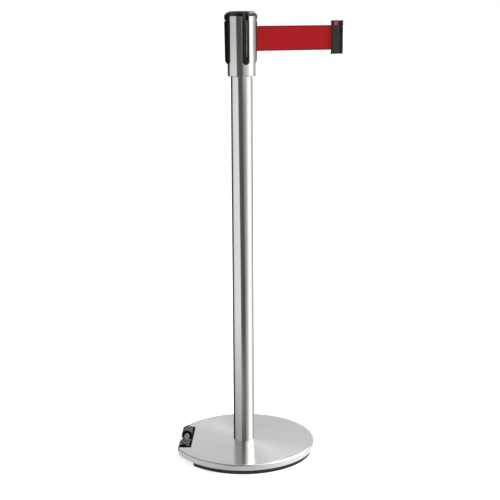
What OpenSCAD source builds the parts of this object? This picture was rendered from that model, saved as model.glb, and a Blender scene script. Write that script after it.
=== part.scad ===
// Retractable belt stanchion, rolling type.
// Millimetres. +Z is up, the origin is the centre of the base on the floor,
// and the belt is drawn out along +X.

/* [Post] */
// Overall height, floor to the top of the cap
total_h = 925; // [905:1:1000]
// Outside diameter of the post tube
tube_d = 44.4; // [44:0.1:44.8]
// Wall of the post tube
tube_wall = 1.2; // [0.8:0.1:1.4]
// Outside diameter of the head sleeve
sleeve_d = 57; // [56.8:0.1:57.4]
// Diameter of the tie rod down the inside of the tube
rod_d = 8; // [6:1:9]

/* [Base] */
// Outside diameter of the base cover
base_d = 300; // [294:1:320]
// Height of the top of the cover above the floor
base_h = 22; // [21:0.5:24]
// Height of the lower edge of the cover's skirt
skirt_z = 9.5; // [9:0.1:11]
// Sheet thickness of the cover
cover_t = 1.2; // [0.8:0.1:1.4]
// Distance from the axis to the straight edge on the wheel side
chord_u = 135; // [133:0.5:137]
// Direction of the wheels, counter-clockwise from the belt
wheel_az = 159; // [90:1:270]

/* [Wheels] */
// Wheel diameter
wheel_d = 24; // [23:0.2:24.6]
// Inner end of each wheel, from the middle of the axle
wheel_in = 22; // [20:0.5:24]
// Outer end of each wheel, from the middle of the axle
wheel_out = 56.4; // [54:0.2:56.6]
// Axle diameter
axle_d = 6; // [5:0.5:6]
// Height of the axle above the floor
axle_z = 16.5; // [16:0.1:16.6]
// Distance from the post's axis to the axle
axle_u = 126; // [125.6:0.1:126]

/* [Belt] */
// Belt width
belt_w = 50; // [46:1:50]
// Belt thickness
belt_t = 0.8; // [0.5:0.1:0.9]
// Where the end clip stands along the belt when drawn out a little
clip_x = 196; // [120:0.5:240]
// Height of the end clip
clip_h = 68; // [64:1:68]

/* [Receivers] */
// Width of each receiver and of the belt guide
recv_w = 14.4; // [13.6:0.1:14.4]
// Reach of a receiver from the post's axis, at its top
recv_r = 35; // [34:0.1:35.2]

/* [Hidden] */
$fn = 96;

// heights in the head, measured down from the top of the cap
zt = total_h;
z_plate = zt - 24;        // underside of the plate that holds the shaft
z_sleeve_top = zt - 10;
z_sleeve_bot = zt - 127.2;
z_recv_top = zt - 21;     // inside the sleeve
z_recv_lip = zt - 18.3;   // outside the sleeve, under the cap's shoulder
z_recv_bot = zt - 105.4;
z_floor = zt - 89.5;      // floor of a receiver's channel
z_belt = zt - 54.5;       // middle of the belt
z_tube_top = zt - 118.5;
z_deck = zt - 112.5;      // deck of the chassis, under the spool
tube_r = tube_d / 2;
tube_ri = tube_r - tube_wall;
sl_r = sleeve_d / 2;
sl_ri = sl_r - 1.5;
base_r = base_d / 2;
weight_top = base_h - cover_t - 0.2;
guide_r = 32;             // outer face of the belt guide
clip_y = 4.3;             // half the clip's thickness
spool_r = 21.6;
shaft_r = 3;

module wheel_side() { rotate([0, 0, wheel_az]) children(); }
module to_side(a) { rotate([0, 0, a]) children(); }

// a disc with a straight edge on the wheel side
module d_disc(r, u, h) {
    intersection() {
        cylinder(r = r, h = h);
        wheel_side() translate([-2 * r, -2 * r, -1]) cube([2 * r + u, 4 * r, h + 2]);
    }
}

module hex_prism(af, h) { cylinder(r = af / sqrt(3), h = h, $fn = 6); }

// ---------- base ----------

module base_cover() {
    er = 3;
    arc = [for (a = [0:15:90]) [base_r - er + er * sin(a), base_h - er + er * cos(a)]];
    inner = [for (a = [90:-15:0]) [base_r - er + (er - cover_t) * sin(a),
        base_h - er + (er - cover_t) * cos(a)]];
    color("lightgray") {
        difference() {
            rotate_extrude() polygon(concat(
                [[tube_r + 0.15, base_h - cover_t], [tube_r + 0.15, base_h]], arc,
                [[base_r, skirt_z], [base_r - cover_t, skirt_z]], inner));
            wheel_side() {
                translate([chord_u, -base_r, 0]) cube([base_r, base_d, base_h + 5]);
                translate([110, -59.2, 0]) cube([base_r, 118.4, base_h + 5]);
            }
        }
        // the folded edge along the straight side, either end of the wheels
        intersection() {
            cylinder(r = base_r - 0.4, h = base_h + 1);
            wheel_side() for (s = [-1, 1])
                translate([chord_u - cover_t, s > 0 ? 59.2 : -59.2 - 20, skirt_z])
                    cube([cover_t, 20, base_h - skirt_z - 0.3]);
        }
    }
}

module base_weight() {
    color("dimgray") difference() {
        union() {
            translate([0, 0, 9.6]) d_disc(base_r - 7, 100, weight_top - 9.6);
            translate([0, 0, 2]) d_disc(base_r - 12.2, 94.8, 7.6);
        }
        translate([0, 0, 1]) cylinder(r = rod_d / 2 + 0.5, h = base_h);
        translate([0, 0, 1]) cylinder(r = 24, h = 11);
        // pockets that the wheel housing's ears sit in, and their screw holes
        wheel_side() for (s = [-1, 1]) {
            translate([85.5, s * 30 - 9, 15.5]) cube([20, 18, 10]);
            translate([92, s * 30, 8]) cylinder(r = 2, h = 12);
        }
    }
}

module floor_ring() {
    color([0.09, 0.085, 0.085]) difference() {
        d_disc(base_r - 4.5, 101, 9.3);
        translate([0, 0, -1]) d_disc(base_r - 12, 95, 12);
    }
}

module wheel_housing() {
    top = base_h + 1.2;
    color([0.05, 0.05, 0.055]) wheel_side() difference() {
        union() {
            // wall behind the wheels, with a lip at its top and a ledge at its foot
            translate([110.2, -59, 4]) cube([3.2, 118, top - 4]);
            translate([110.2, -59, 21]) cube([4.2, 118, top - 21]);
            translate([112, -57, 5]) cube([5.8, 114, 2]);
            translate([112, -20.5, 5]) cube([9, 41, 2]);
            for (s = [-1, 1]) {
                // cheek that carries the axle
                translate([0, s > 0 ? 59 : -56.8, 0]) rotate([90, 0, 0]) linear_extrude(2.2)
                    polygon([[110.2, 4], [126, 4], [chord_u + 2.2, 14], [chord_u + 2.2, top], [110.2, top]]);
                // ear screwed down to the weight
                translate([86, s * 30 - 8.6, 15.6]) cube([25, 17.2, 3]);
            }
        }
        translate([axle_u, 80, axle_z]) rotate([90, 0, 0]) cylinder(r = axle_d / 2 + 0.05, h = 160);
        for (s = [-1, 1]) translate([92, s * 30, 10]) cylinder(r = 2.6, h = 10);
    }
}

module housing_screws() {
    color("silver") wheel_side() for (s = [-1, 1]) translate([92, s * 30, 0]) {
        translate([0, 0, 8.2]) cylinder(r = 1.95, h = 10.5);
        difference() {
            translate([0, 0, 18.65]) cylinder(r = 3.9, h = 1.7);
            translate([0, 0, 19.5]) cylinder(r = 1.4, h = 2, $fn = 6);
        }
    }
}

module wheel_axle() {
    color("silver") wheel_side() translate([axle_u, 61, axle_z]) rotate([90, 0, 0]) difference() {
        cylinder(r = axle_d / 2, h = 122);
        for (z = [0.75, 121.25]) translate([0, 0, z]) difference() {
            cylinder(r = axle_d, h = 1, center = true);
            cylinder(r = axle_d / 2 - 0.6, h = 2, center = true);
        }
    }
}

module axle_clips() {
    color("gray") wheel_side() for (s = [-1, 1])
        translate([axle_u, s * 60.25, axle_z]) rotate([90, 0, 0]) difference() {
            cylinder(r = 4, h = 0.8, center = true);
            cylinder(r = axle_d / 2 - 0.55, h = 2, center = true);
            translate([0, -1.6, -1]) cube([10, 3.2, 2]);
        }
}

module hub_spacer() {
    color([0.62, 0.64, 0.64]) wheel_side() translate([axle_u, 0, axle_z]) rotate([90, 0, 0])
        rotate_extrude() polygon([[axle_d / 2 + 0.05, -wheel_in + 0.4], [6.2, -wheel_in + 0.4],
            [6.2, -wheel_in + 3.5], [5.4, -wheel_in + 4.5], [5.4, wheel_in - 4.5],
            [6.2, wheel_in - 3.5], [6.2, wheel_in - 0.4], [axle_d / 2 + 0.05, wheel_in - 0.4]]);
}

// a wheel's two pieces, along the axle from a to b
module core(a, b) {
    wheel_side() translate([axle_u, 0, axle_z]) rotate([-90, 0, 0]) rotate_extrude() polygon([
        [axle_d / 2 + 0.06, a], [5.6, a], [5.6, a + 0.8], [wheel_d / 2 - 3, a + 0.8],
        [wheel_d / 2 - 3, b - 0.8], [5.6, b - 0.8], [5.6, b], [axle_d / 2 + 0.06, b]]);
}
module tyre(a, b) {
    r = wheel_d / 2;
    wheel_side() translate([axle_u, 0, axle_z]) rotate([-90, 0, 0]) rotate_extrude() polygon([
        [r - 2.98, a + 0.3], [r - 1.2, a + 0.3], [r - 0.3, a + 0.8], [r, a + 1.8],
        [r, b - 1.8], [r - 0.3, b - 0.8], [r - 1.2, b - 0.3], [r - 2.98, b - 0.3]]);
}
module wheel_core_left() { color([0.12, 0.12, 0.12]) core(-wheel_out, -wheel_in); }
module wheel_tyre_left() { color([0.06, 0.06, 0.06]) tyre(-wheel_out, -wheel_in); }
module wheel_core_right() { color([0.12, 0.12, 0.12]) core(wheel_in, wheel_out); }
module wheel_tyre_right() { color([0.06, 0.06, 0.06]) tyre(wheel_in, wheel_out); }

// ---------- post ----------

module post_tube() {
    color("silver") translate([0, 0, weight_top]) difference() {
        cylinder(r = tube_r, h = z_tube_top - weight_top);
        translate([0, 0, -1]) cylinder(r = tube_ri, h = z_tube_top);
    }
}

module base_plug() {
    color([0.15, 0.15, 0.15]) translate([0, 0, weight_top]) difference() {
        cylinder(r = tube_ri - 0.2, h = 26);
        translate([0, 0, -1]) cylinder(r = rod_d / 2 + 0.3, h = 40);
        translate([0, 0, 6]) difference() {
            cylinder(r = tube_ri - 3, h = 30);
            cylinder(r = rod_d / 2 + 3.3, h = 30);
        }
    }
}

module tie_rod() {
    color("silver") translate([0, 0, 3.2]) cylinder(r = rod_d / 2, h = z_deck - 10 - 3.2);
}

module base_nut() {
    color("silver") translate([0, 0, 3.6]) difference() {
        hex_prism(13, 6.2);
        translate([0, 0, -1]) cylinder(r = rod_d / 2 + 0.02, h = 10);
    }
}

module base_washer() {
    color("silver") translate([0, 0, 9.9]) difference() {
        cylinder(r = 20, h = 2);
        translate([0, 0, -1]) cylinder(r = rod_d / 2 + 0.4, h = 4);
    }
}

module top_nut() {
    color("silver") translate([0, 0, z_deck - 19]) difference() {
        hex_prism(13, 6);
        translate([0, 0, -1]) cylinder(r = rod_d / 2 + 0.02, h = 10);
    }
}

// ---------- head ----------

// the window in the sleeve that a receiver or the belt guide stands in
module side_window(w, z0, z1) {
    translate([20, 0, z0 + w / 2]) rotate([0, 90, 0]) cylinder(r = w / 2, h = 20);
    translate([20, -w / 2, z0 + w / 2]) cube([20, w, z1 - z0]);
}

module head_sleeve() {
    color("silver") difference() {
        translate([0, 0, z_sleeve_bot]) cylinder(r = sl_r, h = z_sleeve_top - z_sleeve_bot);
        translate([0, 0, z_sleeve_bot - 1]) cylinder(r = sl_ri, h = 200);
        for (a = [0, 90, 180, 270]) to_side(a) side_window(recv_w + 0.4, z_recv_bot - 0.2, zt);
    }
}

module sleeve_ring() {
    color("gainsboro") translate([0, 0, z_sleeve_bot - 1.8]) difference() {
        rotate_extrude() polygon([[tube_r + 0.1, 0], [sl_r - 0.8, 0], [sl_r, 0.7], [sl_r, 1.7], [tube_r + 0.1, 1.7]]);
    }
}

module sleeve_adaptor() {
    color([0.08, 0.08, 0.08]) translate([0, 0, z_sleeve_bot]) difference() {
        cylinder(r = sl_ri - 0.05, h = z_tube_top - z_sleeve_bot - 0.1);
        translate([0, 0, -1]) cylinder(r = tube_r + 0.08, h = 30);
        for (a = [0:45:359]) rotate([0, 0, a + 22.5]) translate([tube_r + 2.4, -2, 2]) cube([1.6, 4, 20]);
    }
}

module head_chassis() {
    color([0.1, 0.1, 0.1]) difference() {
        union() {
            translate([0, 0, z_tube_top - 34]) cylinder(r = tube_ri - 0.2, h = 34.5);
            translate([0, 0, z_tube_top]) cylinder(r = sl_ri - 0.1, h = z_deck - z_tube_top);
            // four uprights between the receivers
            translate([0, 0, z_deck - 0.5]) intersection() {
                difference() {
                    cylinder(r = sl_ri - 0.1, h = z_plate - z_deck + 0.5);
                    translate([0, 0, -1]) cylinder(r = 22.7, h = 120);
                }
                for (a = [45:90:315]) rotate([0, 0, a]) linear_extrude(120)
                    polygon([[0, 0], [40 * cos(13), -40 * sin(13)], [40, 0], [40 * cos(13), 40 * sin(13)]]);
            }
        }
        // shaft seat, nut pocket and rod hole
        translate([0, 0, z_deck - 8]) cylinder(r = shaft_r + 0.02, h = 20);
        translate([0, 0, z_tube_top - 40]) cylinder(r = rod_d / 2 + 0.3, h = z_deck - 9 - z_tube_top + 40);
        translate([0, 0, z_deck - 19.1]) hex_prism(13.4, 6.2);
        translate([0, 0, z_tube_top - 35]) difference() {
            cylinder(r = tube_ri - 2.2, h = 30);
            translate([0, 0, -1]) cylinder(r = 10.2, h = 40);
            for (a = [0:60:359]) rotate([0, 0, a]) translate([0, -0.8, -1]) cube([40, 1.6, 40]);
        }
        // pilot holes for the plate's screws
        for (a = [45:90:315]) rotate([0, 0, a]) translate([24.4, 0, z_plate - 9]) cylinder(r = 1.2, h = 20);
    }
}

module head_plate() {
    color("gray") difference() {
        union() {
            translate([0, 0, z_plate]) cylinder(r = 22.4, h = 2.4);
            for (a = [45:90:315]) rotate([0, 0, a]) translate([18, -4, z_plate]) cube([8.2, 8, 2.4]);
        }
        translate([0, 0, z_plate - 1]) cylinder(r = shaft_r + 0.02, h = 10);
        for (a = [45:90:315]) rotate([0, 0, a]) translate([24.4, 0, z_plate - 1]) cylinder(r = 1.5, h = 10);
        for (a = [0:90:359]) rotate([0, 0, a]) translate([13, 0, z_plate - 1]) cylinder(r = 4.5, h = 10);
    }
}

module plate_screws() {
    color("silver") for (a = [45:90:315]) rotate([0, 0, a]) translate([24.4, 0, 0]) {
        translate([0, 0, z_plate - 7.5]) cylinder(r = 1.15, h = 10);
        difference() {
            translate([0, 0, z_plate + 2.45]) cylinder(r = 2.1, h = 1.5);
            translate([-1.4, -0.25, z_plate + 3.3]) cube([2.8, 0.5, 2]);
            translate([-0.25, -1.4, z_plate + 3.3]) cube([0.5, 2.8, 2]);
        }
    }
}

// T-shaped channel that a belt's end clip slides down into, in a receiver's own frame
module t_channel(z0, z1) {
    translate([26.9, -4.9, z0]) cube([4.5, 9.8, z1 - z0]);
    translate([31.3, -2.1, z0]) cube([10, 4.2, z1 - z0]);
}

// plan of a receiver: straight where it passes through the sleeve, then narrowing to its face
module side_plan(x0) {
    w = recv_w / 2;
    polygon([[x0, -w], [28.7, -w], [36.7, 3.9 - w], [36.7, w - 3.9], [28.7, w], [x0, w]]);
}

// outer form shared by the receivers and the belt guide
module side_body(reach, back) {
    w = recv_w / 2;
    intersection() {
        rotate_extrude() polygon([[20, z_recv_bot], [sl_r + 0.3, z_recv_bot],
            [reach - 1.8, z_recv_bot + 5.6], [reach - 1, z_recv_bot + 9], [reach, z_recv_top - 9],
            [reach, z_recv_lip - 3.4], [reach - 1.9, z_recv_lip], [27.2, z_recv_lip],
            [27.2, z_recv_top], [20, z_recv_top]]);
        union() {
            translate([0, 0, z_recv_bot + w]) linear_extrude(z_recv_lip + 1 - z_recv_bot - w) side_plan(back);
            // round foot
            translate([back, 0, z_recv_bot + w]) rotate([0, 90, 0]) cylinder(r = w, h = 28.7 - back);
            translate([28.7, 0, z_recv_bot + w]) rotate([0, 90, 0]) cylinder(r1 = w, r2 = w - 3.9, h = 8);
        }
    }
    // flange that lies against the inside of the sleeve
    translate([back, -9, z_deck + 0.1]) cube([25.2 - back, 18, z_recv_top - 2.8 - z_deck]);
}

module receiver(a) {
    color([0.06, 0.06, 0.065]) to_side(a) difference() {
        side_body(recv_r, 22.7);
        t_channel(z_floor, zt);
        // a drain hole at the foot of the channel
        translate([28, 0, z_floor + 1]) rotate([0, 90, 0]) cylinder(r = 2.6, h = 14);
    }
}
module receiver_left() { receiver(180); }
module receiver_front() { receiver(270); }
module receiver_back() { receiver(90); }

module belt_guide() {
    z0 = z_belt - belt_w / 2 - 1.6;
    color([0.06, 0.06, 0.065]) difference() {
        side_body(guide_r, 23.6);
        translate([0, 0, z0]) linear_extrude(belt_w + 3.2) polygon([[20, -8], [24.6, -5.6],
            [29.2, -1.4], [29.8, -1.1], [30.8, -1.1], [31.6, -2], [34, -2.6], [34, 2.6], [31.6, 2],
            [30.8, 1.1], [24.6, 1.6], [20, 1.6]]);
    }
}

module top_cap() {
    z_in = z_sleeve_top;
    color([0.03, 0.03, 0.035]) difference() {
        union() {
            // crown, plug ring and centre boss, with the seat of the insert and the screw hole
            rotate_extrude() polygon([[1.7, zt - 19], [7, zt - 19], [7, zt - 4.6], [20, zt - 4.6],
                [22.8, zt - 7], [22.8, zt - 19], [sl_ri - 0.15, zt - 19], [sl_ri - 0.15, z_in + 0.1],
                [sl_r + 0.2, z_in + 0.1], [sl_r + 0.2, zt - 4.6], [sl_r - 0.4, zt - 3.2],
                [26.4, zt - 1.9], [24.6, zt - 0.9], [23.4, zt - 0.4], [22.6, zt - 0.4],
                [22.6, zt - 1.7], [3.2, zt - 1.7], [3.2, zt - 4.1], [1.7, zt - 4.1]]);
            // shoulders over the receivers and the belt guide
            for (a = [0, 90, 180, 270]) to_side(a) shoulder(a == 0 ? guide_r + 0.3 : recv_r);
        }
        for (a = [90, 180, 270]) to_side(a) t_channel(zt - 30, zt + 1);
    }
}

module shoulder(rr) {
    intersection() {
        rotate_extrude() polygon([[23.6, zt - 18.2], [rr - 1.9, zt - 18.2], [rr, zt - 14.6], [rr, zt - 9.6],
            [rr - 0.7, zt - 7.2], [rr - 2.6, zt - 5.2], [rr - 5.5, zt - 3.3], [25, zt - 1.4], [23.6, zt - 1.4]]);
        translate([0, 0, zt - 20]) linear_extrude(20) side_plan(20);
    }
}

module cap_insert() {
    color([0.03, 0.03, 0.035]) rotate_extrude() polygon([[0, zt - 1.65], [22.5, zt - 1.65],
        [22.5, zt - 0.75], [22.1, zt - 0.45], [17, zt - 0.26], [9, zt - 0.07], [0, zt]]);
}

module cap_screw() {
    color("silver") difference() {
        union() {
            translate([0, 0, zt - 4.05]) cylinder(r = 3, h = 2.1);
            translate([0, 0, zt - 27]) cylinder(r = 1.5, h = 23);
        }
        translate([0, 0, zt - 3.1]) cylinder(r = 1.3, h = 3, $fn = 6);
    }
}

// ---------- belt mechanism ----------

module spool_shaft() {
    color("silver") difference() {
        translate([0, 0, z_deck - 7.5]) cylinder(r = shaft_r, h = z_plate + 3.4 - (z_deck - 7.5));
        translate([0, 0, zt - 28.5]) cylinder(r = 1.52, h = 20);
    }
}

module brake_washer() {
    color([0.55, 0.5, 0.42]) translate([0, 0, z_deck]) difference() {
        cylinder(r = 19, h = 1.8);
        translate([0, 0, -1]) cylinder(r = 7, h = 5);
    }
}

module spool() {
    z0 = z_belt - belt_w / 2 - 4;
    color([0.2, 0.2, 0.2]) difference() {
        union() {
            translate([0, 0, z0]) cylinder(r = spool_r, h = 2);
            translate([0, 0, z0]) cylinder(r = 8, h = belt_w + 8.2);
            translate([0, 0, z0 + belt_w + 5]) cylinder(r = spool_r, h = 2);
        }
        translate([0, 0, z0 - 1]) cylinder(r = shaft_r + 1, h = 100);
        translate([0, 0, z0 - 1]) cylinder(r = 5, h = 9.1);
        translate([0, 0, z0 + belt_w + 0.1]) cylinder(r = 5, h = 20);
        for (a = [0:60:359]) rotate([0, 0, a]) translate([14.6, 0, z0 + belt_w + 4]) cylinder(r = 3.6, h = 5);
    }
}

module bush(z) {
    translate([0, 0, z]) difference() {
        cylinder(r = 4.98, h = 8);
        translate([0, 0, -1]) cylinder(r = shaft_r + 0.05, h = 10);
    }
}
module lower_bush() { color("goldenrod") bush(z_belt - belt_w / 2 - 4); }
module upper_bush() { color("goldenrod") bush(z_belt + belt_w / 2 - 3.8); }

module spring_cup() {
    z1 = z_belt - belt_w / 2 - 4;
    z0 = z_deck + 3.2;
    color("gray") difference() {
        translate([0, 0, z0]) cylinder(r = 21.4, h = z1 - z0 - 0.02);
        translate([0, 0, z0 - 1]) cylinder(r = 20.4, h = z1 - z0 - 0.2);
        translate([0, 0, z0]) cylinder(r = 7, h = 60);
    }
}

module spring_cover() {
    color("gray") difference() {
        translate([0, 0, z_deck + 2.2]) cylinder(r = 21.4, h = 0.98);
        translate([0, 0, z_deck]) cylinder(r = 7.5, h = 6);
    }
}

module power_spring() {
    turns = 8;
    steps = turns * 18;
    function rad(i) = 4.6 + 15 * i / steps;
    outer = [for (i = [0:steps]) [(rad(i) + 0.3) * cos(i * 20), (rad(i) + 0.3) * sin(i * 20)]];
    back = [for (i = [steps:-1:0]) [(rad(i) - 0.3) * cos(i * 20), (rad(i) - 0.3) * sin(i * 20)]];
    color("slategray") translate([0, 0, z_deck + 5]) linear_extrude(20) polygon(concat(outer, back));
}

module belt_roll() {
    color("firebrick") translate([0, 0, z_belt - belt_w / 2]) difference() {
        cylinder(r = 18, h = belt_w);
        translate([0, 0, -1]) cylinder(r = 8.02, h = belt_w + 2);
    }
}

// the run from the roll to the mouth of the guide
module belt_lead() {
    a = acos(18.8 / 30);
    p = [18.8 * cos(-a), 18.8 * sin(-a)];
    d = [30 - p[0], -p[1]] / norm([30 - p[0], -p[1]]);
    n = [d[1], -d[0]] * belt_t / 2;
    color("firebrick") translate([0, 0, z_belt - belt_w / 2]) linear_extrude(belt_w) polygon([
        [p[0] + n[0] , p[1] + n[1]], [30 + n[0], -belt_t / 2], [guide_r + 0.4, -belt_t / 2],
        [guide_r + 0.4, belt_t / 2], [30 - n[0], belt_t / 2], [p[0] - n[0], p[1] - n[1]]]);
}

module belt_strip() {
    color([0.64, 0.11, 0.13]) translate([guide_r + 0.5, -belt_t / 2, z_belt - belt_w / 2])
        cube([clip_x + 9 - guide_r - 0.5, belt_t, belt_w]);
}

// ---------- end clip ----------

clip_z = z_belt - clip_h / 2 + 0.5;

module clip_blank(x0, x1, h) {
    translate([0, h, 0]) rotate([90, 0, 0]) linear_extrude(h) polygon([
        [x0, clip_z + 2.2], [x0, clip_z + clip_h - 0.8], [x0 + 0.8, clip_z + clip_h],
        [x1 - 0.8, clip_z + clip_h], [x1, clip_z + clip_h - 0.8], [x1, clip_z + 0.8],
        [x1 - 0.8, clip_z], [x0 - 0.4, clip_z], [x0 - 0.9, clip_z + 0.5], [x0 - 0.9, clip_z + 2.2]]);
}
module belt_pocket() {
    translate([clip_x - 3, -belt_t / 2 - 0.1, z_belt - belt_w / 2 - 0.3])
        cube([18.2, belt_t + 0.2, belt_w + 0.6]);
}
bx = clip_x + 3.7;            // lock button's lower left corner
bz = z_belt + 25.2;

module clip_front() {
    color([0.16, 0.17, 0.165]) difference() {
        translate([0, -clip_y, 0]) clip_blank(clip_x, clip_x + 16, clip_y);
        belt_pocket();
        translate([bx - 0.2, -10, bz - 0.2]) cube([7.8, 20, 7.4]);
        for (z = [clip_z + 4.5, clip_z + clip_h - 4.5]) translate([clip_x + 13.2, 5, z])
            rotate([90, 0, 0]) cylinder(r = 1.2, h = 8);
    }
}

module clip_back() {
    color([0.13, 0.14, 0.135]) difference() {
        union() {
            clip_blank(clip_x, clip_x + 16, clip_y);
            // neck and flange of the T-rail
            translate([clip_x + 16.05, -1.7, clip_z + 0.4]) cube([4.15, 3.4, clip_h - 0.8]);
            translate([clip_x + 15.5, 0, clip_z + 0.4]) cube([2, 1.7, clip_h - 0.8]);
            translate([clip_x + 20.1, -4.4, clip_z]) cube([3.4, 8.8, clip_h]);
        }
        belt_pocket();
        translate([bx - 0.2, -1, bz - 0.2]) cube([7.8, 2.6, 7.4]);
        for (z = [clip_z + 4.5, clip_z + clip_h - 4.5]) translate([clip_x + 13.2, 0, z]) rotate([-90, 0, 0]) {
            translate([0, 0, -1]) cylinder(r = 1.4, h = 8);
            translate([0, 0, clip_y - 1.7]) cylinder(r = 2.2, h = 4);
        }
    }
}

module clip_screws() {
    color("silver") for (z = [clip_z + 4.5, clip_z + clip_h - 4.5])
        translate([clip_x + 13.2, 0, z]) rotate([-90, 0, 0]) difference() {
            union() {
                translate([0, 0, -2.8]) cylinder(r = 1.15, h = 6);
                translate([0, 0, clip_y - 1.65]) cylinder(r = 2, h = 1.4);
            }
            translate([-1.5, -0.3, clip_y - 0.9]) cube([3, 0.6, 2]);
            translate([-0.3, -1.5, clip_y - 0.9]) cube([0.6, 3, 2]);
        }
}

module lock_button() {
    color([0.75, 0.1, 0.2]) translate([bx, -clip_y - 0.6, bz]) {
        cube([7.4, 3.6, 7]);
    }
}

module lock_spring() {
    color("silver") translate([bx + 3.7, 0, bz + 1.5]) linear_extrude(4) polygon([
        [-3.2, 1.5], [-3.2, 1.15], [-2.6, 1.15], [0, -1.25], [2.6, 1.15], [3.2, 1.15],
        [3.2, 1.5], [2.45, 1.5], [0, -0.75], [-2.45, 1.5]]);
}

base_cover();
base_weight();
floor_ring();
wheel_housing();
housing_screws();
wheel_axle();
axle_clips();
hub_spacer();
wheel_core_left();
wheel_tyre_left();
wheel_core_right();
wheel_tyre_right();
post_tube();
base_plug();
tie_rod();
base_nut();
base_washer();
top_nut();
head_sleeve();
sleeve_ring();
sleeve_adaptor();
head_chassis();
head_plate();
plate_screws();
receiver_left();
receiver_front();
receiver_back();
belt_guide();
top_cap();
cap_insert();
cap_screw();
spool_shaft();
brake_washer();
spool();
lower_bush();
upper_bush();
spring_cup();
spring_cover();
power_spring();
belt_roll();
belt_lead();
belt_strip();
clip_front();
clip_back();
clip_screws();
lock_button();
lock_spring();
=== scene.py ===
import math
import random

import bmesh
import bpy
from mathutils import Matrix, Vector

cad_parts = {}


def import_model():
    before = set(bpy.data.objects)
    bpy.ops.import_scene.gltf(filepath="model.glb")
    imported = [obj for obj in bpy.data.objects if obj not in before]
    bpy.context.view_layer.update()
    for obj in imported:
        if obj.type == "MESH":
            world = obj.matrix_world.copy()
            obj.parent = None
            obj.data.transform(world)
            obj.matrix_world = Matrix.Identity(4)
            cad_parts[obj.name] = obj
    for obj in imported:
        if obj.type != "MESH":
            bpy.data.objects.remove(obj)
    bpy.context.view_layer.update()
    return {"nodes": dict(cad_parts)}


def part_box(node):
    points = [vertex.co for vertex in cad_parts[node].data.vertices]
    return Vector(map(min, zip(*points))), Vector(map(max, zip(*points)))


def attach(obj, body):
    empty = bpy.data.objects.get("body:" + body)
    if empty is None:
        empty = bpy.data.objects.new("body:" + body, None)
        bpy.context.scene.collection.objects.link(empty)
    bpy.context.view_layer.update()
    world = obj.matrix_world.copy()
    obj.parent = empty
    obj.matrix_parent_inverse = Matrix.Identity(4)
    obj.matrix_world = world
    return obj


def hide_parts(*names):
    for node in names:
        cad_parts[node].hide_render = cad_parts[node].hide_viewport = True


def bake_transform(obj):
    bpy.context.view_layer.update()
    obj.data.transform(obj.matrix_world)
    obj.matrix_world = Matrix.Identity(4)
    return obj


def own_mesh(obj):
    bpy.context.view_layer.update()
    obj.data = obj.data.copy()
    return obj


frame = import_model()
nodes = frame["nodes"]
MM = 0.001

# ---------------------------------------------------------------- camera

YAW, PITCH, ROLL, FOCAL = math.radians(18.870), math.radians(12.135), math.radians(-0.303), 1126.5
CAM_AT = Vector((-0.729, -2.179, 0.931))
fwd = Vector((math.sin(YAW) * math.cos(PITCH), math.cos(YAW) * math.cos(PITCH), -math.sin(PITCH)))
right0 = Vector((math.cos(YAW), -math.sin(YAW), 0))
up0 = right0.cross(fwd)
right = right0 * math.cos(ROLL) + up0 * math.sin(ROLL)
up = up0 * math.cos(ROLL) - right0 * math.sin(ROLL)
cam_data = bpy.data.cameras.new("camera")
cam_data.sensor_width = 36
cam_data.lens = FOCAL / 500 * 36
cam_data.clip_start, cam_data.clip_end = 0.05, 200
cam = bpy.data.objects.new("camera", cam_data)
bpy.context.scene.collection.objects.link(cam)
cam.matrix_world = Matrix(((right.x, up.x, -fwd.x, CAM_AT.x), (right.y, up.y, -fwd.y, CAM_AT.y),
                           (right.z, up.z, -fwd.z, CAM_AT.z), (0, 0, 0, 1)))
bpy.context.scene.camera = cam
bpy.context.scene.view_settings.view_transform = "Standard"
bpy.context.scene.view_settings.look = "None"

# ---------------------------------------------------------------- node helpers


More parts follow.
